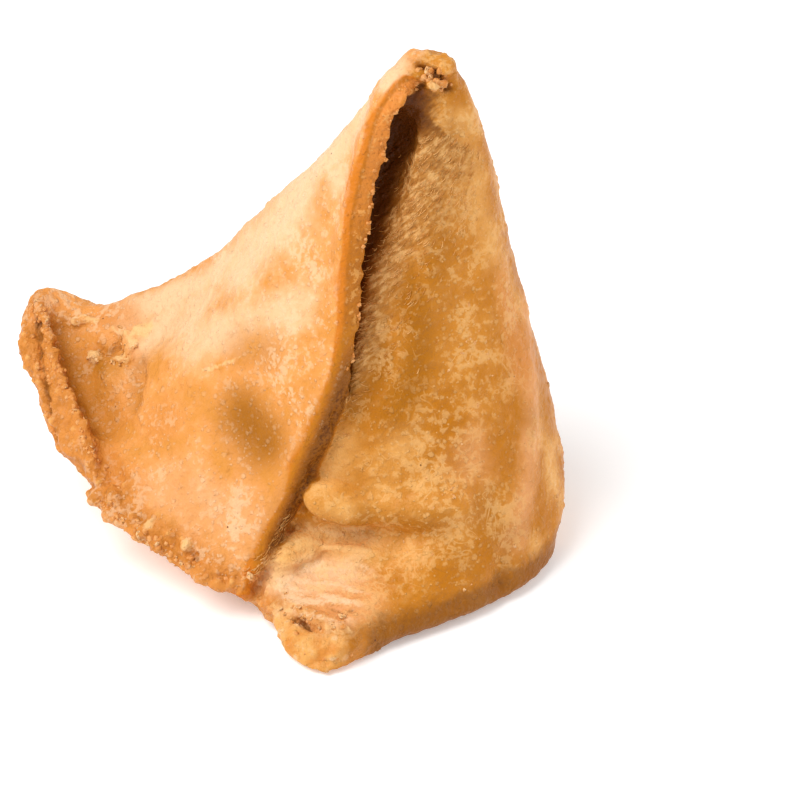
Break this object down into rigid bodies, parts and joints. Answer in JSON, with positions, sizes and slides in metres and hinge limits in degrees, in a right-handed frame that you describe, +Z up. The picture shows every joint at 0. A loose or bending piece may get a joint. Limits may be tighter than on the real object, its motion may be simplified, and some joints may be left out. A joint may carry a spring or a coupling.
{
  "type": "samosa",
  "caption": "Whole fried samosa standing on its base: a pointed cone of dough with a lapped seam down the front, a pinched rim rising to a wing at one side, and a flat foot.",
  "frame": {"origin": "middle of the bounding box in plan, at the level the samosa rests on", "axes": "+Z up to the tip; -Y towards the side with the lapped seam and the foot; -X towards the raised wing"},
  "size_m": [0.0824, 0.0624, 0.0805],
  "materials": {
    "crust": "fried wheat dough, golden orange with paler blisters and browner edges, faintly oily"
  },
  "bodies": {
    "root": {"samosa": "crust"}
  },
  "joints": []
}
